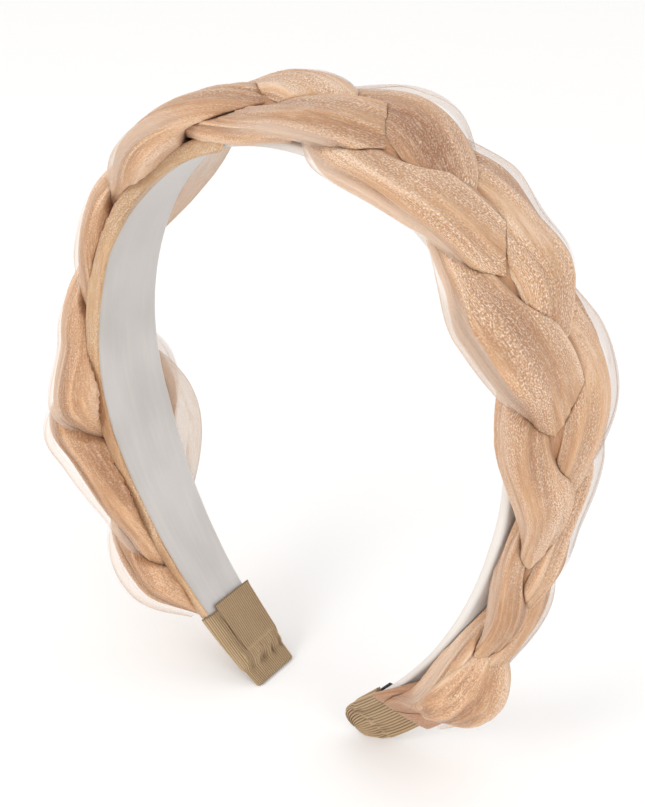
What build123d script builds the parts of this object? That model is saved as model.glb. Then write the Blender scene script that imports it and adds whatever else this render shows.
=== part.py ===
from build123d import *
import os
from math import atan2, cos, degrees, hypot, pi, radians, sin, sqrt

os.makedirs("parts", exist_ok=True)

# Braided headband standing on its two tips, crown up, in millimetres and degrees.
# X runs from the left tip to the right tip, Y from the front edge to the back edge.

# Arch, measured along the inner face of the band from the crown down each leg
crown_radius = 63.0
crown_turn = 60.5
side_radius = 85.0
side_turn = 42.0
left_leg_radius = 151.0
left_leg_turn = 36.0
right_leg_radius = 133.0
right_leg_turn = 39.0

# Satin-covered band
band_thickness = 3.2
tip_thickness = 1.6
band_edge_radius = 1.3
crown_width = 26.0
side_width = 27.0
left_tip_width = 15.0
right_tip_width = 12.0
taper_start_share = 0.6
band_section_step = 6.0

# The right leg leans forwards and turns its outer face forwards on the way to its tip
right_twist = 43.0
right_tip_twist = 28.0
right_tip_forward = 10.0
twist_start_share = 0.35
tip_twist_start_share = 0.78
twist_pivot_share = 0.71

# Ribbon caps over the two tips, with a flat sealed end beyond the band
left_cap_length = 26.0
right_cap_length = 17.0
sealed_length = 7.0
sealed_thickness = 2.2
ribbon_wall = 1.0
cap_gap = 0.25
cap_section_step = 5.0
flap_length = 2.6
flap_width_share = 0.72
right_cap_corner = 4.5
floor_press = 0.8

# Bare black end of the core beside the right cap
core_length = 4.5
core_wall = 0.8
core_width_share = 0.6

# Three-strand braid of gathered organza on the outer face
strand_swing = 11.0
strand_half_width = 12.8
strand_half_thickness = 4.6
strand_rise = 2.7
strand_hang = 1.9
strand_fullness = 2.3
strand_gap = 0.65
braid_seat = 0.3
strand_count = 3
sections_per_lobe = 5
rays = 12

# Lobes passed on the way from the left cap to the right cap, counted at both edges, and the share
# of the braid's length passed by then
lobe_table = (
    # lobes_passed, share_of_braid
    (0, 0.000), (2, 0.106), (8, 0.376), (10, 0.470), (12, 0.549),
    (14, 0.641), (16, 0.735), (18, 0.824), (20, 0.905), (22, 1.000),
)

# Fullness of the braid along its length, as shares of the strand sizes; shift is a share of the
# band's crown width, towards the back edge
fullness_table = (
    # share_of_braid, swing, width, bulk, shift
    (0.00, 0.40, 0.45, 0.18, 0.00),
    (0.04, 0.60, 0.75, 0.95, -0.13),
    (0.08, 0.80, 0.85, 1.10, -0.09),
    (0.14, 1.00, 0.95, 1.10, 0.00),
    (0.18, 1.30, 1.20, 1.18, -0.05),
    (0.23, 0.80, 0.75, 0.80, 0.02),
    (0.29, 0.70, 0.75, 0.70, 0.02),
    (0.35, 0.75, 0.80, 0.65, 0.00),
    (0.41, 0.95, 0.95, 0.88, -0.04),
    (0.46, 0.80, 0.85, 0.80, -0.06),
    (0.54, 1.10, 1.20, 0.72, 0.02),
    (0.63, 1.05, 1.00, 0.60, -0.02),
    (0.67, 0.95, 0.95, 0.95, -0.01),
    (0.73, 1.10, 1.05, 0.85, 0.04),
    (0.78, 0.90, 0.85, 0.75, 0.04),
    (0.82, 0.55, 0.55, 0.56, -0.08),
    (0.87, 0.50, 0.50, 0.65, -0.02),
    (0.91, 0.40, 0.40, 0.65, -0.07),
    (0.95, 0.55, 0.65, 0.87, 0.05),
    (0.98, 0.50, 0.55, 0.35, 0.02),
    (1.00, 0.45, 0.50, 0.14, 0.00),
)

left, right = -1, 1
leg_ends = {left: (left_leg_radius, left_leg_turn), right: (right_leg_radius, right_leg_turn)}
tip_widths = {left: left_tip_width, right: right_tip_width}
cap_lengths = {left: left_cap_length, right: right_cap_length}


def leg_arcs(side):
    arcs = (crown_radius, crown_turn), (side_radius, side_turn), leg_ends[side]
    return [(radius, radians(turn)) for radius, turn in arcs]


def leg_length(side):
    return sum(radius * turn for radius, turn in leg_arcs(side))


# Value of one column of a table at a place, on a smooth curve that keeps between its rows
def read_table(table, place, column):
    last = len(table) - 2
    row = max(i for i in range(last + 1) if i == 0 or table[i][0] <= place)
    steps = [b[0] - a[0] for a, b in zip(table, table[1:])]
    slopes = [(b[column] - a[column]) / step for a, b, step in zip(table, table[1:], steps)]

    def slope_at(i):
        if i == 0 or i > last:
            return slopes[min(i, last)]
        before, after = slopes[i - 1], slopes[i]
        return 0.0 if before * after <= 0 else 2 * before * after / (before + after)

    t = (place - table[row][0]) / steps[row]
    rise = table[row + 1][column] - table[row][column]
    enter, leave = slope_at(row) * steps[row], slope_at(row + 1) * steps[row]
    bend = enter * t * (1 - t) ** 2 - leave * t * t * (1 - t)
    return table[row][column] + rise * t * t * (3 - 2 * t) + bend


def smooth_ramp(value, start, end):
    t = min(max((value - start) / (end - start), 0.0), 1.0)
    return t * t * (3 - 2 * t)


# Width and thickness of the band at a share of the leg's length
def band_size(side, share):
    if share < taper_start_share:
        return crown_width + (side_width - crown_width) * share / taper_start_share, band_thickness
    taper = (share - taper_start_share) / (1 - taper_start_share)
    width = side_width + (tip_widths[side] - side_width) * taper
    return width, band_thickness + (tip_thickness - band_thickness) * taper


# Local frame at a length along the inner face, negative on the left leg: centre of the inner face,
# direction across the band to its back edge, direction outwards, and the band's width and thickness
def band_frame(length):
    side = left if length < 0 else right
    rest, x, z, angle = abs(length), 0.0, 0.0, 0.0
    arcs = leg_arcs(side)
    for radius, turn in arcs:
        step = min(rest / radius, turn) if (radius, turn) != arcs[-1] else rest / radius
        x += radius * (sin(angle + step) - sin(angle))
        z += radius * (cos(angle + step) - cos(angle))
        angle += step
        rest -= radius * step
        if rest < 1e-9:
            break
    share = abs(length) / leg_length(side)
    width, thickness = band_size(side, share)
    twist = lean = 0.0
    if side == right:
        twist = radians(right_twist) * smooth_ramp(share, twist_start_share, 1.0)
        twist = twist + radians(right_tip_twist) * smooth_ramp(share, tip_twist_start_share, 1.0)
        lean = right_tip_forward * max(0.0, (share - twist_start_share) / (1 - twist_start_share)) ** 2
    out = Vector(side * sin(angle), 0, cos(angle))
    centre = Vector(side * x, -lean, z) + out * (sin(twist) * twist_pivot_share * width / 2)
    across = Vector(0, cos(twist), 0) + out * sin(twist)
    outward = out * cos(twist) - Vector(0, sin(twist), 0)
    return centre, across, outward, width, thickness


# Point at a place across the band and a height above its outer face
def band_point(length, across_place, height):
    centre, across, outward, _, thickness = band_frame(length)
    return centre + across * across_place + outward * (thickness + height)


# Rounded rectangle across the band: its width and thickness, its middle's height above the band's
# middle, its corner and its shift towards the back edge
def band_section(length, width, thickness, middle=0.0, corner=band_edge_radius, shift=0.0):
    centre, across, outward, _, band_depth = band_frame(length)
    origin = centre + across * shift + outward * (band_depth / 2 + middle)
    plane = Plane(origin=origin, x_dir=across, z_dir=across.cross(outward))
    corner = min(corner, 0.45 * thickness, 0.45 * width)
    return (plane * RectangleRounded(width, thickness, corner)).face().outer_wire()


def spread(start, end, step):
    count = max(2, round(abs(end - start) / step))
    return [start + (end - start) * i / count for i in range(count + 1)]


def satin_band():
    start = sealed_length - leg_length(left)
    end = leg_length(right) - sealed_length
    stations = spread(start, end, band_section_step)
    return Solid.make_loft([band_section(s, *band_frame(s)[3:]) for s in stations])


# Ribbon folded round a tip: a sleeve on the band, closed by a flat sealed end
def ribbon_cap(side):
    tip = leg_length(side)
    band_end = tip - sealed_length
    open_end = tip - cap_lengths[side]
    corner = right_cap_corner if side == right else 0.0
    stations = spread(open_end, band_end, cap_section_step)
    stations += spread(band_end, tip - corner, sealed_length / 2)[1:]
    if corner:
        stations += [tip - corner * (1 - sin(radians(a))) for a in (30, 60, 90)]
    outer = []
    for s in stations:
        width, band_depth = (size + 2 * (cap_gap + ribbon_wall) for size in band_frame(side * s)[3:])
        inset = max(0.0, s - (tip - corner))
        width -= 2 * (corner - sqrt(max(corner**2 - inset**2, 0.0)))
        ease = smooth_ramp(s, band_end, band_end + sealed_length / 2)
        thickness = band_depth + (sealed_thickness - band_depth) * ease
        outer.append(band_section(side * s, width, thickness))
    pocket = []
    for s in spread(open_end - ribbon_wall, band_end + cap_gap, cap_section_step):
        width, band_depth = (size + 2 * cap_gap for size in band_frame(side * s)[3:])
        pocket.append(band_section(side * s, width, band_depth))
    cap = Solid.make_loft(outer, ruled=True) - Solid.make_loft(pocket, ruled=True)
    return cap + inner_flap() if side == left else cap


# Overlapping ribbon end on the inner face of the left cap, a step further up the leg
def inner_flap():
    open_end = leg_length(left) - left_cap_length
    sections = []
    for s in (open_end - flap_length, open_end, open_end + flap_length):
        width, band_depth = band_frame(left * s)[3:]
        width += 2 * (cap_gap + ribbon_wall)
        flap_width = width * flap_width_share
        middle = -(band_depth + ribbon_wall) / 2 - cap_gap
        shift = (width - flap_width) / 2
        sections.append(band_section(left * s, flap_width, ribbon_wall, middle, shift=shift))
    return Solid.make_loft(sections, ruled=True)


def core_end():
    cap_start = leg_length(right) - right_cap_length
    sections = []
    for s in (cap_start - core_length, cap_start - cap_gap):
        band_across, band_depth = band_frame(s)[3:]
        width = band_across * core_width_share
        middle = -(band_depth + core_wall) / 2 - cap_gap
        sections.append(band_section(s, width, core_wall, middle, shift=(width - band_across) / 2))
    return Solid.make_loft(sections)


def braid_ends():
    start, end = (leg_length(side) - cap_lengths[side] - braid_seat for side in (left, right))
    return -start, end


# Length along the band where so many lobes are passed
def lobe_place(lobes):
    start, end = braid_ends()
    return start + (end - start) * read_table(lobe_table, lobes, 1)


# Middle of a strand across the band and above it, with its half width and half thickness there
def strand_middle(number, lobes):
    share = read_table(lobe_table, lobes, 1)
    swing, width, bulk, shift = (read_table(fullness_table, share, c) for c in (1, 2, 3, 4))
    phase = lobes * pi / strand_count - 2 * pi * number / strand_count
    across = strand_swing * swing * sin(phase) + shift * crown_width
    lift = strand_half_thickness + 0.8 * strand_rise
    height = braid_seat + (lift - strand_rise * sin(2 * phase)) * bulk
    return across, height, strand_half_width * width, strand_half_thickness * bulk


# Longest reach of a ray before it comes to the band, which lies below the seat and within
# half_band of the middle
def reach_to_band(across, height, step_across, step_up, half_band):
    if step_up < 0:
        down = (braid_seat - height) / step_up
        if abs(across + step_across * down) < half_band:
            return down
    if abs(across) > half_band and across * step_across < 0:
        inwards = (abs(across) - half_band) / abs(step_across)
        if height + step_up * inwards < braid_seat:
            return inwards
    return float("inf")


# Section of a strand, a full oval that the other strands and the band press flat: points across
# the band and above it, on rays from the strand's middle
def strand_section(number, lobes):
    across, height, half_width, half_thickness = strand_middle(number, lobes)
    half_band = band_frame(lobe_place(lobes))[3] / 2 + braid_seat
    others = []
    for other in range(strand_count):
        if other != number:
            other_across, other_height = strand_middle(other, lobes)[:2]
            others.append(((other_across - across) / half_width, (other_height - height) / half_thickness))

    def reach(angle):
        c, s = cos(angle), sin(angle)
        hang = strand_hang if s < 0 else 1.0
        best = (abs(c) ** strand_fullness + abs(s / hang) ** strand_fullness) ** (-1 / strand_fullness)
        for dx, dy in others:
            distance = hypot(dx, dy)
            towards = (c * dx + s * dy) / distance
            if towards > 1e-6:
                half_way = distance / 2 - strand_gap / 2 / half_thickness
                best = min(best, max(half_way, 0.02) / towards)
        return best

    angles = [2 * pi * (i + 0.5) / rays for i in range(rays)]
    reaches = [reach(a) for a in angles]
    for i, a in enumerate(angles):
        step_across, step_up = half_width * cos(a), half_thickness * sin(a)
        reaches[i] = min(reaches[i], reach_to_band(across, height, step_across, step_up, half_band))
    for edge in (-half_band, half_band):
        aim = atan2((braid_seat - height) / half_thickness, (edge - across) / half_width) % (2 * pi)
        distance = hypot((edge - across) / half_width, (braid_seat - height) / half_thickness)
        if reach(aim) > distance:
            i = min(range(rays), key=lambda n: abs(2 * pi * (n + 0.5) / rays - aim))
            angles[i], reaches[i] = aim, distance
    return [
        (across + half_width * r * cos(a), height + half_thickness * r * sin(a))
        for a, r in zip(angles, reaches)
    ]


def braid_strand(number):
    wires = []
    for i in range(lobe_table[-1][0] * sections_per_lobe + 1):
        lobes = i / sections_per_lobe
        place = lobe_place(lobes)
        corners = [band_point(place, *corner) for corner in strand_section(number, lobes)]
        wires.append(Wire.make_polygon(corners, close=True))
    return Solid.make_loft(wires, ruled=True)


# The lowest point of a cap, which touches the floor
def lowest_point(solid):
    return min((Vector(v.X, v.Y, v.Z) for v in solid.vertices()), key=lambda point: point.Z)


pieces = {
    "satin_band": satin_band(),
    "ribbon_cap_left": ribbon_cap(left),
    "ribbon_cap_right": ribbon_cap(right),
    "core_end_right": core_end(),
}
for number in range(strand_count):
    pieces[f"braid_strand_{number + 1}"] = braid_strand(number)

# Turn the headband level on its tips, set them on the floor and press their soft ends flat on it
low_left = lowest_point(pieces["ribbon_cap_left"])
low_right = lowest_point(pieces["ribbon_cap_right"])
level = degrees(atan2(low_right.Z - low_left.Z, low_right.X - low_left.X))
pieces = {name: piece.rotate(Axis.Y, level) for name, piece in pieces.items()}
floor = lowest_point(pieces["ribbon_cap_left"]).Z + floor_press
boxes = [piece.bounding_box() for piece in pieces.values()]
middle_x = (min(box.min.X for box in boxes) + max(box.max.X for box in boxes)) / 2
middle_y = (min(box.min.Y for box in boxes) + max(box.max.Y for box in boxes)) / 2
pieces = {name: piece.moved(Location((-middle_x, -middle_y, -floor))) for name, piece in pieces.items()}
below_floor = Pos(0, 0, -crown_radius) * Box(4 * crown_radius, 4 * crown_radius, 2 * crown_radius)
for name in ("ribbon_cap_left", "ribbon_cap_right"):
    pieces[name] = pieces[name] - below_floor

for name, piece in pieces.items():
    export_step(piece, f"parts/{name}.step")
    print(name, round(piece.volume / 1000, 2), "cm3", piece.bounding_box().size)
print("level", round(level, 3), "moved", round(-middle_x, 3), round(-middle_y, 3), round(-floor, 3))
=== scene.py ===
from functools import partial

import bpy
import numpy as np
from mathutils import Matrix


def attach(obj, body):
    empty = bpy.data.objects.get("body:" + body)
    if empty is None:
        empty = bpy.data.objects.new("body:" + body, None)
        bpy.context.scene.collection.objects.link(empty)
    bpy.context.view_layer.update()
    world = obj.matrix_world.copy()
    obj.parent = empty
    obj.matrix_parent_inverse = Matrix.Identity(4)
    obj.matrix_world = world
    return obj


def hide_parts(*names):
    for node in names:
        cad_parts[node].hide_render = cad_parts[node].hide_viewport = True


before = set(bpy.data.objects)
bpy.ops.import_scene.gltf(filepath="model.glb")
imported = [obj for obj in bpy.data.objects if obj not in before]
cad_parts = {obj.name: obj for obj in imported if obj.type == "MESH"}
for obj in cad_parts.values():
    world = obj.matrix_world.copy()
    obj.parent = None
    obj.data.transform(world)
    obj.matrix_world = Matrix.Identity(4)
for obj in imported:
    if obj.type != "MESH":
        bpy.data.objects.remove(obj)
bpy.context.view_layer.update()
print("frame loaded:", ", ".join(sorted(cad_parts)))

millimetre = 0.001  # shapes are worked out in millimetres and placed in metres

# The arch in millimetres and degrees: tangent arcs down each leg, measured on the band's inner face
arch = {
    "arcs": {"left": ((63, 60.5), (85, 42), (151, 36)), "right": ((63, 60.5), (85, 42), (133, 39))},
    "crownWidth": 26, "sideWidth": 27, "tipWidth": {"left": 15, "right": 12},
    "thickness": 3.2, "tipThickness": 1.6, "taperStart": 0.6,
    "twist": 43, "forward": 10, "twistStart": 0.35, "twistPivot": 0.71, "tipTwist": 28, "tipTwistStart": 0.78,
    "level": -0.635, "moved": (0.116, -0.831, 173.45),  # the turn and move that stand it on its tips
}


def ease(value, start=0.0, end=1.0):
    # 0 before start, 1 after end, and 3t^2 - 2t^3 between them
    t = np.clip((value - start) / (end - start), 0, 1)
    return t * t * (3 - 2 * t)


def bell(value, middle, reach):
    # 1 at the middle, falling as exp(-t^2) with the distance from it in reaches
    return np.exp(-((value - middle) / reach) ** 2)


def standUp(points):
    # arch millimetres to standing metres: a turn about Y, then the move
    turn = np.radians(arch["level"])
    x, y, z = points[..., 0], points[..., 1], points[..., 2]
    turned = np.stack([x * np.cos(turn) + z * np.sin(turn), y, z * np.cos(turn) - x * np.sin(turn)], -1)
    return (turned + arch["moved"]) * millimetre


def legLength(side):
    return sum(radius * np.radians(turn) for radius, turn in arch["arcs"][side])


def legFrame(length, side):
    # down a leg the angle grows by length over radius, arc after arc; the right leg also leans forwards, by
    # the square of the way down, and twists its outer face forwards
    sign = -1 if side == "left" else 1
    rest, x, z, angle = np.abs(length), 0.0, 0.0, 0.0
    arcs = arch["arcs"][side]
    for number, (radius, turn) in enumerate(arcs):
        step = rest / radius
        if number < len(arcs) - 1:
            step = np.minimum(step, np.radians(turn))
        x = x + radius * (np.sin(angle + step) - np.sin(angle))
        z = z + radius * (np.cos(angle + step) - np.cos(angle))
        angle = angle + step
        rest = rest - radius * step
    share = np.abs(length) / legLength(side)
    taper = np.clip((share - arch["taperStart"]) / (1 - arch["taperStart"]), 0, None)
    toSide = np.minimum(share / arch["taperStart"], 1)
    width = arch["crownWidth"] + (arch["sideWidth"] - arch["crownWidth"]) * toSide
    width = width + (arch["tipWidth"][side] - arch["sideWidth"]) * taper
    thickness = arch["thickness"] + (arch["tipThickness"] - arch["thickness"]) * taper
    twist = np.radians(arch["twist"]) * ease(share, arch["twistStart"], 1)
    twist = (twist + np.radians(arch["tipTwist"]) * ease(share, arch["tipTwistStart"], 1)) * (side == "right")
    flat = np.zeros_like(length)
    out = np.stack([sign * np.sin(angle), flat, np.cos(angle)], -1)
    back = np.stack([flat, flat + 1, flat], -1)
    cosTwist, sinTwist = np.cos(twist)[..., None], np.sin(twist)[..., None]
    lean = arch["forward"] * np.clip((share - arch["twistStart"]) / (1 - arch["twistStart"]), 0, None) ** 2
    centre = np.stack([sign * x, flat - lean * (side == "right"), z], -1)
    centre = centre + out * sinTwist * arch["twistPivot"] * width[..., None] / 2
    return centre, back * cosTwist + out * sinTwist, out * cosTwist - back * sinTwist, width, thickness


def bandFrame(length):
    # centre of the inner face, direction across to the back edge, direction outwards, width and thickness
    length = np.asarray(length, float)
    leftLeg, rightLeg = legFrame(length, "left"), legFrame(length, "right")
    left = length < 0
    return [np.where(left[..., None] if a.ndim > left.ndim else left, a, b) for a, b in zip(leftLeg, rightLeg)]


def bandPoint(length, across, height):
    # a place across the band and above its outer face, standing, in metres
    centre, acrossWay, outWay, _, thickness = bandFrame(length)
    return standUp(centre + acrossWay * across[..., None] + outWay * (thickness + height)[..., None])


# Camera fitted to the photograph: where it stands and looks, and the pixel that shows the aim point
camera = {
    "azimuth": 34.81, "elevation": 27.55, "roll": -1.335, "distance": 461.6, "focalPixels": 1705.7,
    "aim": (0, 0, -65), "aimPixel": (313.6, 366.7), "image": (645, 807), "sensor": 36, "clip": (0.01, 20),
}


def makeCamera():
    # a view direction from two angles, a roll about it, and a sideways step that puts the aim on its pixel
    azimuth, elevation, roll = (np.radians(camera[name]) for name in ("azimuth", "elevation", "roll"))
    level = np.cos(elevation)
    back = np.array([np.sin(azimuth) * level, -np.cos(azimuth) * level, np.sin(elevation)])
    right = np.array([np.cos(azimuth), np.sin(azimuth), 0])
    up = np.cross(back, right)
    right, up = right * np.cos(roll) + up * np.sin(roll), up * np.cos(roll) - right * np.sin(roll)
    scale = camera["distance"] / camera["focalPixels"]
    stepRight = (camera["aimPixel"][0] - camera["image"][0] / 2) * scale
    stepUp = (camera["aimPixel"][1] - camera["image"][1] / 2) * scale
    place = np.array(camera["aim"], float) + back * camera["distance"] - right * stepRight + up * stepUp
    origin = standUp(np.zeros(3))
    ways = [(standUp(way) - origin) / millimetre for way in (right, up, back)]
    columns = np.stack([*ways, standUp(place)], 1)
    scene = bpy.context.scene
    data = bpy.data.cameras.new("photo_camera")
    data.sensor_width = camera["sensor"]
    data.lens = camera["focalPixels"] * camera["sensor"] / max(camera["image"])
    data.clip_start, data.clip_end = camera["clip"]
    seen = bpy.data.objects.new("photo_camera", data)
    scene.collection.objects.link(seen)
    seen.matrix_world = Matrix(columns.tolist() + [[0, 0, 0, 1]])
    scene.camera = seen


makeCamera()
print("camera set")


def linearColour(hexCode):
    # sRGB hex to linear light
    value = np.array([int(hexCode[i:i + 2], 16) for i in (1, 3, 5)]) / 255
    linear = np.where(value <= 0.04045, value / 12.92, ((value + 0.055) / 1.055) ** 2.4)
    return (*linear.tolist(), 1.0)


def setInputs(node, inputs):
    # each input is linked to another node's output, or set to a number, a vector or a hex colour
    for name, value in inputs.items():
        if isinstance(value, bpy.types.NodeSocket):
            node.id_data.links.new(value, node.inputs[name])
        else:
            node.inputs[name].default_value = linearColour(value) if isinstance(value, str) else value


def addNode(tree, kind, inputs=(), output=0, **settings):
    # one shader node with its settings and its inputs, by name or in order; gives back the output wanted
    node = tree.nodes.new("ShaderNode" + kind)
    for name, value in settings.items():
        setattr(node, name, value)
    setInputs(node, inputs if isinstance(inputs, dict) else dict(enumerate(inputs)))
    return node.outputs[output]


def newMaterial(name):
    # a material, its shader, and addNode for its own tree
    material = bpy.data.materials.new(name)
    material.use_nodes = True
    return material, material.node_tree.nodes["Principled BSDF"], partial(addNode, material.node_tree)


def perMetre(size):
    # noise scale whose cells are that many millimetres long
    return 1000 / size


def clothFields(add, look):
    # what drives a cloth's look: values that its mesh holds at each point, and noises on its own cloth map
    fields = {name: add("Attribute", (), "Fac", attribute_name=name) for name in look["onMesh"]}
    for name, (size, stretch, detail, warp) in look["noises"].items():
        place = add("Mapping", {"Vector": add("UVMap", uv_map="cloth"), "Scale": (1 / stretch, 1, 1)})
        noise = {"Vector": place, "Scale": perMetre(size), "Detail": detail, "Distortion": warp}
        fields[name] = add("TexNoise", noise)
    return fields


def pleatLines(add, crease, middle):
    # how far the crease noise is from one value: near 0 along thin wandering lines
    return add("Math", (add("Math", (crease, middle), operation="SUBTRACT"),), operation="ABSOLUTE")


def multiplied(add, fields, factors):
    # a product of fields, each first spread from its low and high over its two outputs
    product = 1.0
    for name, *span in factors:
        product = add("Math", (add("MapRange", (fields[name], *span)), product), operation="MULTIPLY")
    return product


def addedUp(add, fields, weights):
    # fields times their weights, added up
    total = 0.0
    for name, weight in weights:
        total = add("Math", (fields[name], weight, total), operation="MULTIPLY_ADD")
    return total


def finishMaterial(material, shader, add, look, fields):
    # coats of colour over the ground, each by its share, the relief as a bump, and the constants on the
    # shader's own sockets; a colour mix has its share and two colours in sockets 0, 6 and 7
    tone = look["ground"]
    for colour, name, *span in look["coats"]:
        share = add("MapRange", (fields[name], *span))
        tone = add("Mix", {0: share, 6: tone, 7: look[colour]}, 2, data_type="RGBA")
    strength, depth = look["bump"]
    relief = addedUp(add, fields, look["relief"])
    bump = add("Bump", {"Height": relief, "Strength": strength, "Distance": depth})
    setInputs(shader, {"Base Color": tone, "Normal": bump, **look["shader"]})
    return material


# A noise: millimetres across, times longer along, detail, warp. A coat: colour, the field it follows, that
# field's low and high, and the coat's share at each. A bump: strength, and depth in metres.

# Organza: plain-woven sheer nylon, crisp and crinkled. Gathered in many layers it looks opaque and tan,
# painted shade darkens its creases, fold valleys and tucks, and single bright threads sparkle as painted
# glints within a painted sheen on the fold ridges, drawn a little coarser than the real weave.
organza = {
    "ground": "#94623B", "base": "#CB9F76", "deep": "#94623B", "tucked": "#9A633B", "pale": "#EDD1B6",
    "spark": "#FFF6EA",
    "onMesh": ("fold", "crest", "tuck"),
    "noises": {"crease": (2.0, 13, 2, 0.3), "fine": (0.5, 7, 2, 0), "speck": (0.34, 1.5, 2, 0),
               "hatch": (0.8, 0.4, 1, 0), "patch": (7, 4, 2, 0)},
    "pleatAt": 0.47,
    "masks": {  # products of fields: each one's low and high, and what they give
        # shine is a painted sheen on the fold ridges of upward, free faces, in patches; glint marks painted
        # glints within it
        "shine": (("fold", 0.2, 0.55, 0.45, 1), ("crest", 0, 1, 0, 1), ("patch", 0.38, 0.56, 0, 1)),
        "glint": (("hatch", 0.40, 0.56, 0.45, 1), ("speck", 0.49, 0.63, 0, 1), ("shine", 0, 1, 0.16, 1)),
        "dull": (("speck", 0.47, 0.36, 0, 1), ("shine", 0, 1, 0.2, 0.8))},
    # painted shade: the dark ground in fold valleys, deep in creases and pleat lines, the tuck colour under
    # neighbours; painted highlight: pale on fold ridges, spark on glints; pale on the fine noise is the
    # weave's own tone
    "coats": (
        ("base", "fold", 0.12, 0.60, 0, 1), ("pale", "fold", 0.60, 0.92, 0, 0.65),
        ("deep", "crease", 0.35, 0.65, 0.24, 0), ("deep", "pleat", 0, 0.012, 0.42, 0),
        ("pale", "fine", 0.52, 0.68, 0, 0.28), ("spark", "glint", 0, 1, 0, 0.62),
        ("deep", "dull", 0, 1, 0, 0.6), ("tucked", "tuck", 0, 1, 0, 0.6)),
    "relief": (("crease", 0.45), ("speck", 0.3), ("fine", 0.25)), "bump": (0.6, 0.0009),
    "roughness": (0.5, 0.28),  # of plain cloth and of a glinting thread
    "shader": {"Sheen Weight": 0.15, "Sheen Roughness": 0.4, "IOR": 1.5, "Subsurface Weight": 0.35,
               "Subsurface Radius": (1.0, 0.55, 0.35), "Subsurface Scale": 0.003},
}


def organzaCore():
    made = newMaterial("gathered_organza")
    _, shader, add = made
    fields = clothFields(add, organza)
    fields["pleat"] = pleatLines(add, fields["crease"], organza["pleatAt"])
    for name, factors in organza["masks"].items():
        fields[name] = multiplied(add, fields, factors)
    setInputs(shader, {"Roughness": add("MapRange", (fields["glint"], 0, 1, *organza["roughness"]))})
    return finishMaterial(*made, organza, fields)


# One layer of the same organza: what is behind it shows through, and it is seen best where it stands free of
# the strand and along the rim where it is folded over
veilLook = {
    "ground": "#DCC8B6", "tan": "#CFA680", "line": "#C4A384",
    "onMesh": ("film", "rim", "gathered"),
    "noises": {"crease": (2.4, 16, 2, 0.4), "fine": (0.5, 1.5, 1, 0)},
    "pleatAt": 0.52,
    "contour": (("pleat", 0.006, 0.03, 1, 0), ("film", 0, 1, 0, 0.4)),
    "weave": (("fine", 0.42, 0.62, -0.015, 0.02), ("film", 0, 1, 0, 1)),
    "coats": (("tan", "gathered", 0, 1, 0, 1), ("line", "line", 0, 1, 0, 1)),
    "cover": (("film", 0.44), ("gathered", 0.45), ("weave", 1), ("line", 0.40)),  # how much each hides
    "relief": (("crease", 1),), "bump": (0.4, 0.0008),
    "shader": {"Roughness": 0.5, "Sheen Weight": 0.2, "IOR": 1.4},
}


def organzaVeil():
    made = newMaterial("sheer_organza")
    _, shader, add = made
    fields = clothFields(add, veilLook)
    fields["pleat"] = pleatLines(add, fields["crease"], veilLook["pleatAt"])
    contour = multiplied(add, fields, veilLook["contour"])
    fields["line"] = add("Math", (fields["rim"], contour), operation="MAXIMUM")
    fields["weave"] = multiplied(add, fields, veilLook["weave"])
    setInputs(shader, {"Alpha": addedUp(add, fields, veilLook["cover"])})
    return finishMaterial(*made, veilLook, fields)


# Polyester satin, woven with long floats: smooth, with a soft streaky sheen along the band painted into its
# colour, a painted highlight along both edges, and painted shade darker towards the top of the arch
satinLook = {
    "ground": "#C7C3C0", "shade": "#ADA8A4", "warm": "#DDD5CC",
    "onMesh": ("crest",),
    "noises": {"streak": (1.6, 14, 2, 0), "cloud": (12, 2, 1, 0), "thread": (0.3, 5, 1, 0)},
    # the lighter colour on the streaks is a painted sheen and on crest a painted highlight along the edges;
    # the shade colour over height is painted shade, darker higher up the arch, and on the cloud noise it gives
    # soft darker patches
    "coats": (("shade", "cloud", 0.35, 0.7, 0, 0.5), ("warm", "streak", 0.5, 0.8, 0, 0.25),
              ("shade", "height", 0.09, 0.165, 0, 0.8), ("warm", "crest", 0, 1, 0, 1)),
    "relief": (("thread", 1), ("streak", 1)), "bump": (0.25, 0.0003),
    "shader": {"Roughness": 0.4, "Sheen Weight": 0.35, "IOR": 1.5},
}


def liningSatin():
    made = newMaterial("lining_satin")
    add = made[-1]
    fields = clothFields(add, satinLook)
    # height up the arch, over which the lining gets painted shade
    fields["height"] = add("SeparateXYZ", (add("TexCoord", (), "Object"),), "Z")
    return finishMaterial(*made, satinLook, fields)


# Grosgrain: thick weft cords under fine warp, matt, with painted shade in the grooves between the ribs, in its
# creases and gathers, across each cap's open end and along the flap's edges
ribbonLook = {
    "ground": "#6E5336", "base": "#BDA17C", "groove": "#6E5336", "light": "#CFB792", "creased": "#6E5438",
    "onMesh": ("rib", "fold"),
    "noises": {"warp": (0.28, 1, 2, 0), "cloud": (9, 1.5, 2, 0)},
    # painted shade: the groove ground between ribs and in the low warp noise, and the darkest brown where fold
    # marks creases, gathers, the open end and the flap's edges; light on the cloud noise gives soft lighter
    # patches
    "coats": (("base", "rib", 0, 1, 0, 1), ("light", "cloud", 0.35, 0.7, 0, 0.2),
              ("groove", "warp", 0.35, 0.65, 0.25, 0), ("creased", "fold", 0, 1, 0, 0.75)),
    "relief": (("warp", 1),), "bump": (0.5, 0.0003),
    "shader": {"Roughness": 0.8, "Sheen Weight": 0.2, "IOR": 1.5},
}


def grosgrainRibbon():
    made = newMaterial("grosgrain_ribbon")
    return finishMaterial(*made, ribbonLook, clothFields(made[-1], ribbonLook))


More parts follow.
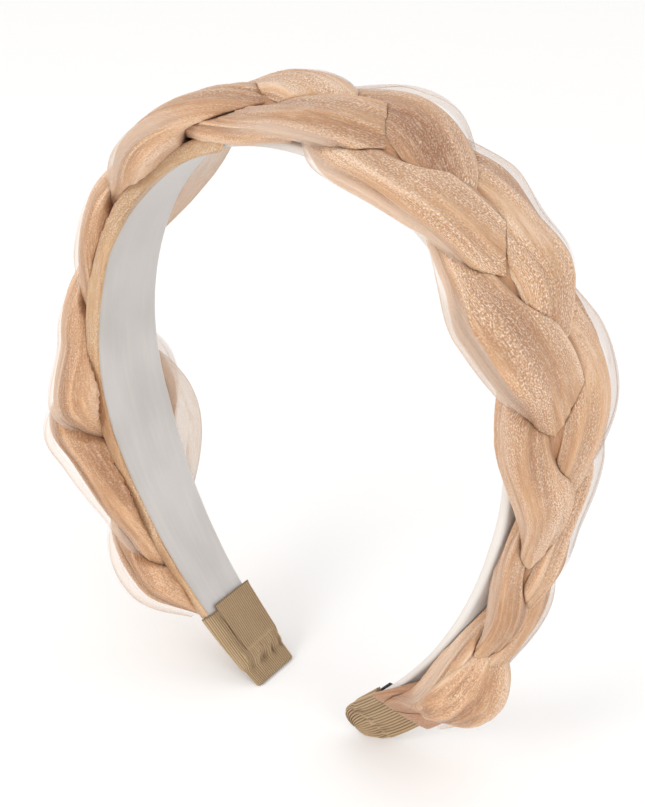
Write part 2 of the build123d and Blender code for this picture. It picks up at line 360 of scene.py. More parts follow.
# Moulded black nylon with a knurled face: small raised grains that catch the light, painted grey on their tops
# as a highlight over the black
nylonLook = {
    "ground": "#5B6068", "black": "#141519", "worn": "#2A2C33", "knurl": 0.9, "uneven": 0.4, "grain": 0.5,
    # the grey ground on the grain tops is a painted highlight; the worn colour on the grain noise is its own
    # tone
    "coats": (("black", "knurl", 0.15, 0.5, 0, 1), ("worn", "grain", 0.4, 0.7, 0, 0.5)),
    "relief": (("knurl", -1),), "bump": (1.0, 0.0006),
    "shader": {"Roughness": 0.45},
}


def coreNylon():
    made = newMaterial("black_nylon")
    add = made[-1]
    place = add("TexCoord", (), "Object")
    knurl = {"Vector": place, "Scale": perMetre(nylonLook["knurl"]), "Randomness": nylonLook["uneven"]}
    grain = {"Vector": place, "Scale": perMetre(nylonLook["grain"]), "Detail": 3}
    fields = {"knurl": add("TexVoronoi", knurl, "Distance"), "grain": add("TexNoise", grain, "Fac")}
    return finishMaterial(*made, nylonLook, fields)


def clothMesh(name, points, alongMm, aroundMm, attributes, material, closed=True, middle=None):
    # quads on a grid of points, closed round its second side and capped at its ends, or an open sheet; faces
    # point away from its middle line, and its cloth map holds real metres along and round
    rows, columns = points.shape[:2]
    count = columns if closed else columns - 1
    i, j = np.meshgrid(np.arange(rows - 1), np.arange(count), indexing="ij")
    corners = ((i, j), (i, j + 1), (i + 1, j + 1), (i + 1, j))
    quads = np.stack([row * columns + column % columns for row, column in corners], -1).reshape(-1, 4)
    places = np.stack([np.stack(corner, -1) for corner in corners], 2).reshape(-1, 4, 2)
    flat = points.reshape(-1, 3)
    normal = np.cross(flat[quads[:, 2]] - flat[quads[:, 0]], flat[quads[:, 3]] - flat[quads[:, 1]])
    middle = points.mean(1) if middle is None else middle
    if (normal * (flat[quads].mean(1) - middle[:-1].repeat(count, 0))).sum() < 0:
        quads, places = quads[:, ::-1], places[:, ::-1]
        endRows = [list(range(columns)), list(range(rows * columns - 1, (rows - 1) * columns - 1, -1))]
    else:
        endRows = [list(range(columns - 1, -1, -1)), list(range((rows - 1) * columns, rows * columns))]
    faces = quads.tolist() + (endRows if closed else [])
    mesh = bpy.data.meshes.new(name)
    mesh.from_pydata(flat.tolist(), [], faces)
    mesh.polygons.foreach_set("use_smooth", np.ones(len(faces), bool))
    wide = np.append(aroundMm, aroundMm[-1] + (aroundMm[-1] - aroundMm[-2])) if closed else aroundMm
    cloth = np.zeros((len(mesh.loops), 2))
    cloth[:places.shape[0] * 4, 0] = alongMm[places[..., 0].ravel()] * millimetre
    cloth[:places.shape[0] * 4, 1] = wide[places[..., 1].ravel()] * millimetre
    mesh.uv_layers.new(name="cloth").data.foreach_set("uv", cloth.ravel())
    for key, values in attributes.items():
        layer = mesh.attributes.new(key, "FLOAT", "POINT")
        layer.data.foreach_set("value", np.broadcast_to(values, (rows, columns)).astype(np.float32).ravel())
    mesh.materials.append(material)
    mesh.validate()
    piece = bpy.data.objects.new(name, mesh)
    bpy.context.scene.collection.objects.link(piece)
    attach(piece, "root")
    return piece


def clothNoise(along, around, cell, cellsRound, seed):
    # random values on a lattice, eased between its points; around runs from 0 to 1 and closes on itself
    lattice = np.random.default_rng(seed).random((int(along.max() / cell) + 3, cellsRound))
    a, b = along / cell, around * cellsRound
    i, j = np.floor(a).astype(int), np.floor(b).astype(int)
    s, t = ease(a - i), ease(b - j)
    low = lattice[i, j % cellsRound] * (1 - t) + lattice[i, (j + 1) % cellsRound] * t
    high = lattice[i + 1, j % cellsRound] * (1 - t) + lattice[i + 1, (j + 1) % cellsRound] * t
    return low * (1 - s) + high * s


# All folds wander by a share of the girth, in cells of so many millimetres, and have the same sharp ridges
foldShape = {"wander": 0.10, "wanderCell": 34, "sharpness": 1.6}


def foldField(along, around, layers, seed):
    # ridges where each lattice noise passes its middle value, from 0 to 1, added with their weights; a layer
    # has a cell's length in millimetres, the cells round, and its weight
    total = sum(weight for _, _, weight in layers)
    drift = foldShape["wander"] * (clothNoise(along, around * 0, foldShape["wanderCell"], 1, seed) - 0.5)
    field = 0
    for number, (cell, cellsRound, weight) in enumerate(layers):
        noise = clothNoise(along, (around + drift) % 1, cell, cellsRound, seed + 7 * number + 1)
        field = field + weight * (1 - np.abs(2 * noise - 1)) ** foldShape["sharpness"]
    return field / total


# The braid as the solids have it: sizes in millimetres, and the same two tables along it
braid = {
    "swing": 11, "halfWidth": 12.8, "halfThickness": 4.6, "rise": 2.7, "lift": 0.8, "hang": 1.9,
    "fullness": 2.3, "gap": 0.04, "overlap": 0.24, "overlapHeight": 3, "leastReach": 0.02,
    "free": (0.55, 0.95), "seat": 0.3, "strands": 3, "capLength": {"left": 26, "right": 17},
    "lobes": ((0, 0), (2, 0.106), (8, 0.376), (10, 0.470), (12, 0.549), (14, 0.641), (16, 0.735), (18, 0.824),
              (20, 0.905), (22, 1)),
    "forms": (  # share of the braid, swing, width, bulk, shift
        (0, 0.4, 0.45, 0.18, 0), (0.04, 0.6, 0.75, 0.95, -0.13), (0.08, 0.8, 0.85, 1.1, -0.09),
        (0.14, 1, 0.95, 1.1, 0), (0.18, 1.3, 1.2, 1.18, -0.05), (0.23, 0.8, 0.75, 0.8, 0.02),
        (0.29, 0.7, 0.75, 0.7, 0.02), (0.35, 0.75, 0.8, 0.65, 0), (0.41, 0.95, 0.95, 0.88, -0.04),
        (0.46, 0.8, 0.85, 0.8, -0.06), (0.54, 1.1, 1.2, 0.72, 0.02), (0.63, 1.05, 1, 0.6, -0.02),
        (0.67, 0.95, 0.95, 0.95, -0.01), (0.73, 1.1, 1.05, 0.85, 0.04), (0.78, 0.9, 0.85, 0.75, 0.04),
        (0.82, 0.55, 0.55, 0.56, -0.08), (0.87, 0.5, 0.5, 0.65, -0.02), (0.91, 0.4, 0.4, 0.65, -0.07),
        (0.95, 0.55, 0.65, 0.87, 0.05), (0.98, 0.5, 0.55, 0.35, 0.02), (1, 0.45, 0.5, 0.14, 0)),
}


def readTable(table, place, column):
    # cubic curve through the rows whose slope is the harmonic mean of its neighbours, so it never overshoots
    table = np.array(table, float)
    steps, values = np.diff(table[:, 0]), table[:, column]
    slopes = np.diff(values) / steps
    before, after = slopes[:-1], slopes[1:]
    both = before + after
    inner = np.where(before * after > 0, 2 * before * after / np.where(both == 0, 1, both), 0)
    tangents = np.concatenate([slopes[:1], inner, slopes[-1:]])
    row = np.clip(np.searchsorted(table[:, 0], place, "right") - 1, 0, len(steps) - 1)
    t = (place - table[row, 0]) / steps[row]
    bend = tangents[row] * steps[row] * t * (1 - t) ** 2 - tangents[row + 1] * steps[row] * t * t * (1 - t)
    return values[row] + (values[row + 1] - values[row]) * t * t * (3 - 2 * t) + bend


def lobePlace(lobes):
    # the length along the arch at a place in lobes
    start = braid["capLength"]["left"] + braid["seat"] - legLength("left")
    end = legLength("right") - braid["capLength"]["right"] - braid["seat"]
    return start + (end - start) * readTable(braid["lobes"], lobes, 1)


def braidForms(lobes):
    # the braid's swing, width, bulk and shift at a place in lobes
    share = readTable(braid["lobes"], lobes, 1)
    return [readTable(braid["forms"], share, column) for column in (1, 2, 3, 4)]


def strandMiddle(number, lobes):
    # across = swing sin(phase); height swings twice as fast, so a strand goes over, then under
    swing, width, bulk, shift = braidForms(lobes)
    phase = lobes * np.pi / braid["strands"] - 2 * np.pi * number / braid["strands"]
    across = braid["swing"] * swing * np.sin(phase) + shift * arch["crownWidth"]
    lift = braid["halfThickness"] + braid["lift"] * braid["rise"]
    height = braid["seat"] + (lift - braid["rise"] * np.sin(2 * phase)) * bulk
    return across, height, braid["halfWidth"] * width, braid["halfThickness"] * bulk, np.sin(phase)


def strandOval(number, lobes, angle):
    # the oval's middle and half sizes at each station, and the cosine and sine of each direction
    sizes = (v[:, None] for v in strandMiddle(number, lobes)[:4])
    return *sizes, np.cos(angle)[None], np.sin(angle)[None]


def strandReach(number, lobes, angle, pressed):
    # an oval's reach in each direction, cut half-way to the other strands if pressed, and always at the band;
    # then 1 where the strand's face is free and 0 where it is pressed
    across, height, halfWidth, halfThickness, c, s = strandOval(number, lobes, angle)
    hang = np.where(s < 0, braid["hang"], 1.0)
    power = braid["fullness"]
    oval = (np.abs(c) ** power + np.abs(s / hang) ** power) ** (-1 / power) + 0 * across
    reach = oval.copy()
    for other in range(braid["strands"]):
        if pressed and other != number:
            otherAcross, otherHeight = (v[:, None] for v in strandMiddle(other, lobes)[:2])
            dx, dy = (otherAcross - across) / halfWidth, (otherHeight - height) / halfThickness
            distance = np.hypot(dx, dy)
            towards = (c * dx + s * dy) / distance
            # the higher strand lies over the other
            share = 0.5 + braid["overlap"] * np.tanh((height - otherHeight) / braid["overlapHeight"])
            halfWay = np.maximum(distance * share - braid["gap"] / 2 / halfThickness, braid["leastReach"])
            reach = np.where(towards > 1e-6, np.minimum(reach, halfWay / np.maximum(towards, 1e-6)), reach)
    halfBand = bandFrame(lobePlace(lobes))[3][:, None] / 2 + braid["seat"]
    stepAcross, stepUp = halfWidth * c, halfThickness * s
    down = np.where(stepUp < 0, (braid["seat"] - height) / np.minimum(stepUp, -1e-9), 1e9)
    onBand = np.abs(across + stepAcross * down) < halfBand
    reach = np.where(onBand, np.minimum(reach, down), reach)
    beside = (np.abs(across) > halfBand) & (across * stepAcross < 0)
    inwards = np.where(beside, (np.abs(across) - halfBand) / np.maximum(np.abs(stepAcross), 1e-9), 1e9)
    low = height + stepUp * inwards < braid["seat"]
    reach = np.where((inwards < reach) & low, inwards, reach)
    return reach, ease(reach / oval, *braid["free"])


def strandPoints(number, lobes, angle, reach, push):
    # the reach times the oval's half sizes, then pushed out along the oval's normal by so many millimetres
    across, height, halfWidth, halfThickness, c, s = strandOval(number, lobes, angle)
    normalAcross, normalUp = c / halfWidth, s / halfThickness
    size = np.hypot(normalAcross, normalUp)
    length = lobePlace(lobes)[:, None] + 0 * reach
    return bandPoint(length, across + halfWidth * reach * c + push * normalAcross / size,
                     height + halfThickness * reach * s + push * normalUp / size)


# How loose the organza is at each edge of the braid, in millimetres at a place in lobes: how far the gathered
# inside is drawn in from the solid's edge, and how far the sheer outside stands proud of it
loose = {
    "front": (  # lobes, drawn in, proud
        (0, 1.5, 0.5), (0.5, 1.5, 3), (1.2, 4.5, 2.5), (1.9, 1.5, 1), (2.6, 2.6, 1.5), (3.3, 2.4, 2.4),
        (4.2, 1, 1.6), (5.4, 0.3, 1.6), (6.1, 0.2, 2.2), (6.9, 1.4, 0.6), (7.6, -1.5, 3.5), (8.3, -2, 5),
        (8.9, -2.5, 5.5), (9.8, 0.5, 0.5), (10.6, 0.8, 1), (11.5, 1, 5.5), (12.4, 4.6, 1),
        (13.1, 2.5, 1.4), (13.8, 2.5, 4), (14.5, -8.5, 11.5), (15.2, -10, 13), (15.9, -2, 4),
        (16.6, 0.6, 0.8), (18.5, 1.2, 0.6), (20.5, 1.4, 0.8), (22, 1, 0.3)),
    "back": (
        (0, 1.5, 0.5), (1.2, 6, 0.5), (2.6, 12, 0.5), (3.4, 17, 0.5), (4.4, 9, 0.5), (5.2, 2, 0.5),
        (7, 1, 0.5), (8.9, 0.6, 0.5), (9.6, -0.5, 1.2), (10.3, 4.5, 0.2), (11, 2.8, 6),
        (11.7, 7, 0), (12.4, 4.5, 3.5), (13.1, -0.5, 5), (13.8, 2, 0.5), (14.5, -3, 5),
        (15.2, 0.5, 4.2), (15.9, 7, 1.4), (16.6, 5.5, 5), (17.3, 6.5, 2), (18, 1.4, 2),
        (18.7, -1.2, 3), (19.4, -0.4, 3.2), (20.1, 0.8, 2.4), (20.8, 2.4, -0.6), (21.5, 2.2, 4),
        (22, 0.5, 0.5)),
    "column": {"drawnIn": 1, "proud": 2},  # which is also the power that narrows it to the rim
}


def looseness(number, lobes, angle, kind):
    # the table's value for the edge that a point faces, more the nearer its strand is to that edge
    turned = strandMiddle(number, lobes)[4][:, None]
    column = loose["column"][kind]
    facing = np.clip(np.cos(angle)[None] * turned, 0, 1)
    back = readTable(loose["back"], lobes, column)[:, None] * facing * (turned > 0)
    front = readTable(loose["front"], lobes, column)[:, None] * facing * (turned < 0)
    return (back + front) * np.abs(np.cos(angle))[None] ** column


# The gathered strands
pleats = {
    "stations": 560, "around": 150, "girth": 62, "foldHeight": 2.2, "sink": 0.72, "drawnInMost": 0.75,
    "folds": ((56, 6, 1.0), (38, 11, 0.8), (27, 22, 0.75), (19, 38, 0.4)), "seed": 11,
    "crestUp": (-1.5, -0.1), "crestFree": (0.15, 0.8), "tuckFree": (0.0, 0.75), "tuckEnd": (20.95, 21.2),
}


def gatheredStrand(number):
    # the solid's own section, drawn in at loose edges, its free faces pushed in and out by the folds
    lobes = np.linspace(0, braid["lobes"][-1][0], pleats["stations"])
    angle = np.linspace(-np.pi / 2, 1.5 * np.pi, pleats["around"], endpoint=False)
    reach, free = strandReach(number, lobes, angle, pressed=True)
    halfWidth = strandMiddle(number, lobes)[2][:, None]
    drawnIn = looseness(number, lobes, angle, "drawnIn") / halfWidth
    reach = reach * (1 - np.minimum(drawnIn, pleats["drawnInMost"]))
    along = lobePlace(lobes) - lobePlace(lobes)[0]
    around = np.linspace(0, 1, pleats["around"], endpoint=False)
    fold = foldField(along[:, None], around[None], pleats["folds"], pleats["seed"] + 40 * number)
    bulk = braidForms(lobes)[2][:, None]
    push = free * np.minimum(bulk, 1) * (fold - pleats["sink"]) * pleats["foldHeight"]
    points = strandPoints(number, lobes, angle, reach, push)
    # crest: the upward-facing free faces, where the organza paints its sheen
    crest = ease(np.sin(angle)[None], *pleats["crestUp"]) * ease(free, *pleats["crestFree"])
    # tuck: painted shade where the strand is pressed under its neighbours, and at its far end
    atEnd = ease(lobes, *pleats["tuckEnd"])[:, None]
    tuck = np.maximum(1 - ease(free, *pleats["tuckFree"]), atEnd)
    return clothMesh(f"organza_strand_{number + 1}", points, along, around * pleats["girth"],
                     {"fold": fold, "crest": crest, "tuck": tuck}, core)


core = organzaCore()
for number in range(braid["strands"]):
    piece = gatheredStrand(number)
    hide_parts(f"braid_strand_{number + 1}")

# The gathered cloth in the middle of the braid, seen only down the grooves where the three strands meet
filling = {
    "from": 0.6, "to": 21.0, "stations": 260, "around": 28, "girth": 12 * np.pi, "halfWidth": 7.5,
    "lift": 0.92, "halfHeight": 0.62, "fold": 0.35, "tuck": 0.4,
}


def braidFilling():
    # an oval tube that follows the braid's own shift, swing and bulk
    lobes = np.linspace(filling["from"], filling["to"], filling["stations"])
    turn = np.linspace(0, 2 * np.pi, filling["around"], endpoint=False)[None]
    swing, _, bulk, shift = (form[:, None] for form in braidForms(lobes))
    lift = braid["halfThickness"] + braid["lift"] * braid["rise"]
    middleHeight = braid["seat"] + lift * bulk * filling["lift"]
    across = shift * arch["crownWidth"] + filling["halfWidth"] * swing * np.cos(turn)
    height = middleHeight * (1 + filling["halfHeight"] * np.sin(turn))
    points = bandPoint(lobePlace(lobes)[:, None] + 0 * across, across, height)
    around = turn[0] / (2 * np.pi) * filling["girth"]
    # a middling fold, no crest and a share of the tuck colour: painted shade for cloth seen only down the
    # grooves
    fields = {"fold": filling["fold"], "crest": 0, "tuck": filling["tuck"]}
    return clothMesh("organza_filling", points, lobePlace(lobes) - lobePlace(lobes)[0], around, fields, core)


piece = braidFilling()
print("organza strands made")

# The sheer outer layers: from, to and the rim's width in degrees
veils = {
    "stations": 360, "around": 72, "girth": 70, "lobes": (0.1, 21.9), "from": -65, "to": 245, "bunched": 0.42,
    "swell": 0.985, "lift": 0.3, "foldHeight": 0.9, "sink": 0.6, "flatRim": 0.6, "proudReach": 0.5,
    "folds": ((48, 5, 1.0), (28, 9, 0.6)), "seed": 300, "share": 0.95,
    "rimWidth": 1.3, "film": 0.62, "filmFade": 0.35, "free": (0.4, 2.4),
}


def outerLayer(number):
    # the unpressed oval's free side, whose rims stand proud of the strand; the film shows where it hangs free
    lobes = np.linspace(*veils["lobes"], veils["stations"])
    angle = np.radians(np.linspace(veils["from"], veils["to"], veils["around"]))
    angle = angle - veils["bunched"] * np.sin(2 * angle)  # closer at the rims, for a thin fold line
    reach, _ = strandReach(number, lobes, angle, pressed=False)
    halfWidth = strandMiddle(number, lobes)[2][:, None]
    toRim = np.minimum(np.abs(angle), np.abs(angle - np.pi))[None]  # the cloth folds over at both sides
    proud = looseness(number, lobes, angle, "proud") / halfWidth
    reach = reach * veils["swell"] + proud * bell(toRim, 0, veils["proudReach"])
    along = lobePlace(lobes) - lobePlace(lobes)[0]
    around = np.linspace(0, veils["share"], veils["around"])
    fold = foldField(along[:, None], around[None], veils["folds"], veils["seed"] + 60 * number)
    folded = veils["lift"] + (fold - veils["sink"]) * veils["foldHeight"]
    push = np.minimum(braidForms(lobes)[2][:, None], 1) * folded * ease(toRim, 0.0, veils["flatRim"])
    hanging = looseness(number, lobes, angle, "drawnIn") + proud * halfWidth
    free = ease(hanging, *veils["free"])
    rim = bell(toRim, 0, np.radians(veils["rimWidth"])) * free
    film = ease(veils["film"] - toRim, 0, veils["filmFade"]) * free
    points = strandPoints(number, lobes, angle, reach, push)
    middle = strandPoints(number, lobes, angle[:1], reach[:, :1] * 0, push[:, :1] * 0)[:, 0]
    piece = clothMesh(f"organza_veil_{number + 1}", points, along, around * veils["girth"],
                      {"film": film, "rim": rim, "gathered": 0}, veil, False, middle)
    return piece, points, along


veil = organzaVeil()
for number in range(braid["strands"]):
    piece, points, along = outerLayer(number)

# Loops of organza that hang out behind the band on the left leg, where the strands turn round its back edge
loops = {
    "stations": 90, "around": 64, "girth": 34, "root": 9.0, "rootHeight": 1.5, "thickness": 2.2, "droop": 1.3,
    "roundness": 0.75, "folds": ((14, 5, 1.0), (7, 9, 0.5)), "foldRun": 40, "foldHeight": 0.8, "sink": 0.6,
    "seed": 500, "film": (0.1, 0.5), "rimWidth": 0.06,
    "thin": {"at": 0.62, "long": 0.16, "out": 0.5, "wide": 0.35, "share": 0.8},  # where gathered cloth thins
    "rows": (  # from lobe, to lobe, how far across, how high above the band, gathered share
        (1.5, 4.2, 22.0, -5.0, 0.0), (5.9, 9.0, 25.0, -4.0, 0.55)),
}


def looseLoop(count, start, end, across, height, gathered):
    # a closed section that runs out from its root on the band to the rim and back, its size a root of a sine
    # along the leg; out is 0 at the band and 1 at the rim
    u = np.linspace(0, 1, loops["stations"])[:, None]
    turn = np.linspace(0, 2 * np.pi, loops["around"], endpoint=False)[None]
    swell = np.sin(np.pi * (u * 0.98 + 0.01)) ** loops["roundness"]  # stops just short of closing at its ends
    ripple = foldField(u * loops["foldRun"], turn / 2 / np.pi, loops["folds"], loops["seed"] + 9 * count)
    out = 0.5 - 0.5 * np.cos(turn)
    thick = np.sin(turn) * loops["thickness"] * swell
    thick = thick + loops["foldHeight"] * (ripple - loops["sink"]) * swell * np.sin(turn)
    placeAcross = loops["root"] + (across - loops["root"]) * swell * out + 0 * thick
    placeUp = loops["rootHeight"] + (height - loops["rootHeight"]) * swell * out ** loops["droop"] + thick
    place = lobePlace(start + (end - start) * u)
    points = bandPoint(place + 0 * thick, placeAcross, placeUp)
    thin = loops["thin"]
    patch = np.exp(-(((u - thin["at"]) / thin["long"]) ** 2) - ((out - thin["out"]) / thin["wide"]) ** 2)
    fields = {"film": ease(out, *loops["film"]), "rim": bell(turn, np.pi, loops["rimWidth"]),
              "gathered": gathered * (1 - thin["share"] * patch)}
    along = (place - lobePlace(np.array([[start]])))[:, 0]
    around = np.linspace(0, loops["girth"], loops["around"])
    return clothMesh(f"organza_loop_{count + 1}", points, along, around, fields, veil), points, along


for count, row in enumerate(loops["rows"]):
    piece, points, along = looseLoop(count, *row)

# The puffed last turn of the braid at the right cap
pouch = {
    "from": 19.8, "to": 21.5, "across": (-11.0, 13.0), "height": (2.0, 15.0), "stations": 90, "around": 96,
    "girth": 50, "late": 1.35, "roundness": 0.62, "topRoundness": 0.8, "slant": 1.5, "foldRun": 34,
    "foldSwell": 0.10, "foldHeight": 1.6, "folds": ((26, 7, 1.0), (13, 16, 0.6), (9, 34, 0.35)), "seed": 820,
    "crest": 0.7,
}


def lastPouch():
    # an oval section whose top is rounder than its foot, growing and shrinking as the root of a sine along
    # the leg, gathered by folds that run along it
    u = np.linspace(0, 1, pouch["stations"])[:, None]
    turn = np.linspace(0, 2 * np.pi, pouch["around"], endpoint=False)[None]
    swell = np.maximum(np.sin(np.pi * (0.02 + 0.96 * u ** pouch["late"])), 0) ** pouch["roundness"]
    low, high = pouch["across"]
    middle = (low + high) / 2 - pouch["slant"] * (1 - u)
    fold = foldField(u * pouch["foldRun"], turn / 2 / np.pi, pouch["folds"], pouch["seed"])
    size = (1 + pouch["foldSwell"] * (fold - 0.5)) * swell
    across = middle + (high - low) / 2 * size * np.cos(turn)
    foot, top = pouch["height"]
    height = foot + (top - foot) * size * (0.5 + 0.5 * np.sin(turn)) ** pouch["topRoundness"]
    height = height + pouch["foldHeight"] * fold * swell * np.maximum(np.sin(turn), 0)
    place = lobePlace(pouch["from"] + (pouch["to"] - pouch["from"]) * u) + 0 * size
    points = bandPoint(place, across, height)
    around = np.linspace(0, pouch["girth"], pouch["around"])
    # its crest share lets the organza paint a sheen on its fold ridges
    return clothMesh("organza_pouch_right", points, place[:, 0] - place[0, 0], around,
                     {"fold": fold, "crest": pouch["crest"], "tuck": 0}, core)


piece = lastPouch()

# Organza drawn over the band's front edge down the left leg: it hangs furthest over the lining near the top
drape = {
    "stations": 300, "around": 60, "girth": 30, "thickness": 0.25, "clear": 0.4, "inwards": 11.0,
    "ripple": 0.5, "corner": 0.8, "roundOut": 0.3, "rippleFrom": 0.4, "folds": ((18, 5, 1.0), (8, 9, 0.5)),
    "seed": 610, "foldShade": (0.25, 0.5), "crest": 0.6, "tuck": 0.3,
    "over": (  # lobes, how far the cloth reaches over the lining's face in millimetres
        (0, 0.2), (3, 0.4), (4.2, 0.2), (5.6, 0.8), (6.4, 0.4), (7.2, 2.4), (8.2, 5), (8.9, 5.2),
        (9.4, 2.5), (9.8, -3.5), (10.1, -4.6)),
}


def edgeDrape():
    # a strip bent round the band's edge: along the outer face, down the side, then over the inner face; the
    # closed section runs out along one face of the cloth and back along the other
    lobes = np.linspace(drape["over"][0][0], drape["over"][-1][0], drape["stations"])
    place = lobePlace(lobes)
    along = place - place[0]
    width, depth = (v[:, None] for v in bandFrame(place)[3:])
    reachOver = readTable(drape["over"], lobes, 1)[:, None]
    halfCount = drape["around"] // 2
    ends = np.concatenate([np.linspace(0, 1, halfCount), np.linspace(1, 0, halfCount)])[None]
    offset = np.repeat([0.0, drape["thickness"]], halfCount)[None] + drape["clear"]
    path = ends * (drape["inwards"] + depth + 2 * drape["clear"] + reachOver)
    side = depth + 2 * drape["clear"]
    onTop, onSide = path < drape["inwards"], path < drape["inwards"] + side
    corner = drape["corner"]
    bend = ease(np.abs(path - drape["inwards"] - side / 2), side / 2 + corner, side / 2 - corner)
    fold = foldField(along[:, None], ends / 3, drape["folds"], drape["seed"])
    inwards = drape["inwards"] - path
    across = np.where(onTop, inwards, np.where(onSide, 0, -inwards - side))
    across = across - width / 2 - offset - drape["roundOut"] * bend
    height = np.where(onTop, offset, np.where(onSide, inwards + drape["clear"], -depth - offset))
    lifted = np.where(onTop, 1, -1) * (1 - bend) * ease(ends, drape["rippleFrom"], 1)
    height = height + drape["ripple"] * (fold - 0.5) * lifted
    points = bandPoint(place[:, None] + 0 * path, across, height)
    # the fold squeezed to a narrower range of painted shade and highlight, a crest share for the painted
    # sheen, and a share of the painted tuck shade
    dark, gain = drape["foldShade"]
    fields = {"fold": dark + gain * fold, "crest": drape["crest"], "tuck": drape["tuck"]}
    around = np.linspace(0, drape["girth"], drape["around"])
    return clothMesh("organza_drape_left", points, along, around, fields, core), points, along


piece, points, along = edgeDrape()
print("sheer outer layers made")


def roundedProfile(flatPoints, cornerPoints, sidePoints):
    # once round a rounded rectangle: which way each point's corner centre lies, the angle about it, and the
    # share of the way round
    runs = []
    for k, (flat, corner) in enumerate(((flatPoints, cornerPoints), (sidePoints, cornerPoints)) * 2):
        share = np.linspace(1, -1, flat, endpoint=False)
        one = np.ones(flat)
        sx, sy = ((share, one), (-one, share), (-share, -one), (one, -share))[k]
        runs.append(np.stack([sx, sy, one * 90 * (k + 1)]))
        turn = np.linspace(90 * (k + 1), 90 * (k + 2), corner, endpoint=False)
        cornerX, cornerY = ((-1, 1), (-1, -1), (1, -1), (1, 1))[k]
        runs.append(np.stack([0 * turn + cornerX, 0 * turn + cornerY, turn]))
    sx, sy, turn = np.concatenate(runs, 1)
    return sx[None], sy[None], np.radians(turn)[None], np.linspace(0, 1, len(turn), endpoint=False)


def sectionPoints(length, width, thickness, corner, profile, middle=0.0, shift=0.0, push=0.0):
    # the rounded rectangle's points on the band's frame, pushed out along the section's normal
    sx, sy, turn, _ = profile
    corner = np.minimum(np.minimum(corner, 0.48 * thickness), 0.48 * width)  # never quite half of a side
    across = sx * (width / 2 - corner) + (corner + push) * np.cos(turn) + shift
    up = sy * (thickness / 2 - corner) + (corner + push) * np.sin(turn) + middle
    depth = bandFrame(length)[4]
    flat = 0 * across
    return bandPoint(length + flat, across, up - depth / 2 + flat)


# The lining puckers near the caps, and bunches up on its inner face where the right cap ends
band = {
    "stations": 420, "profile": (26, 6, 5), "girth": 58, "sealed": 7, "edgeRadius": 1.3, "edgeShade": 0.8,
    "crown": 0.22, "ripple": 0.10, "pucker": 0.30, "puckerReach": 26, "folds": ((30, 9, 1.0), (14, 21, 0.6)),
    "seed": 900, "bulge": 1.5, "bulgeFrom": 3.2, "bulgeReach": 2.2, "bulgeSide": (-1.2, 0.6),
}


def satinLining():
    # a rounded rectangle along the whole arch, crowned on its inner face and pushed out by ripples
    start, end = band["sealed"] - legLength("left"), legLength("right") - band["sealed"]
    length = np.linspace(start, end, band["stations"])[:, None]
    profile = roundedProfile(*band["profile"])
    width, thickness = bandFrame(length)[3:]
    toCap = legLength("right") - braid["capLength"]["right"] - length
    fromCap = legLength("left") - braid["capLength"]["left"] + length
    nearCap = ease(fromCap, band["puckerReach"], 0) + ease(toCap, band["puckerReach"], 0)
    along = (length - length[0])[:, 0]
    ripple = foldField(along[:, None], profile[3][None], band["folds"], band["seed"]) - 0.5
    inner = profile[1] < 0
    push = band["crown"] * (1 - profile[0] ** 2) * inner
    push = push + ripple * (band["ripple"] + band["pucker"] * nearCap)
    bulge = bell(toCap, band["bulgeFrom"], band["bulgeReach"]) * inner
    push = push + band["bulge"] * bulge * ease(profile[0], *band["bulgeSide"])
    points = sectionPoints(length, width, thickness, band["edgeRadius"], profile, push=push)
    # the band's two edges, which get a painted highlight
    edge = np.clip(np.abs(np.cos(profile[2])), 0, 1) * band["edgeShade"]
    around = profile[3] * band["girth"]
    return clothMesh("satin_lining", points, along, around, {"crest": edge}, liningSatin())


lining = satinLining()
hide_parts("satin_band")
print("satin lining made")

# The ribbon caps and the left one's flap, in millimetres
caps = {
    "wall": 1.0, "gap": 0.25, "sealed": 7, "sealedThickness": 2.2, "corner": {"left": 0.6, "right": 4.5},
    "edgeRadius": 1.3, "profile": (110, 16, 20), "stationStep": 0.3, "closeEarly": 0.4, "closeShare": 0.28,
    "ribSpacing": {"left": 0.82, "right": 0.98}, "ribHeight": {"left": 0.17, "right": 0.24},
    "ribShade": {"left": 0.85, "right": 1.0}, "ribSharpness": 1.5,
    "lean": {"left": 0.9, "right": -0.5},  # how far the ribs drift across the cap on its length
    "folds": ((7, 26, 1.0), (4, 52, 0.6)), "seed": 77,
    "pinch": {"at": 0.6, "reach": 1.9, "fold": 1.3, "rise": -0.4, "sides": ("left", "right")},
    "bunch": {"at": -2.4, "reach": 1.7, "fold": 0.5, "rise": 0.35, "sides": ("left",)},
    "creases": ((3.1, 0.30), (2.2, 0.22), (1.4, 0.16)),  # how far from the front edge and how deep
    "creaseWidth": 0.22, "creaseWander": 0.3, "creaseRun": 4, "creaseFade": 0.6, "creaseShade": 3,
    "openEdge": 0.5, "openShade": 0.8, "pinchShade": 3.0,
}
flaps = {
    "starts": 1.7, "share": 0.80, "thickness": 0.3, "profile": (90, 5, 3), "stations": 70, "edgeRadius": 0.2,
    "girth": 32, "overSeal": 0.5, "sinkReach": 5, "sink": 1.5, "bedded": 0.2, "aside": 0.05, "edge": 0.4,
    "edgeShade": 0.7, "frontEdge": -0.96,
}
ribbon = grosgrainRibbon()
wall = caps["gap"] + caps["wall"]


def ribShading(wave, shade):
    # 1 on a rib, falling by the shade in the groove
    return 1 - shade * (0.5 - 0.5 * wave) ** caps["ribSharpness"]


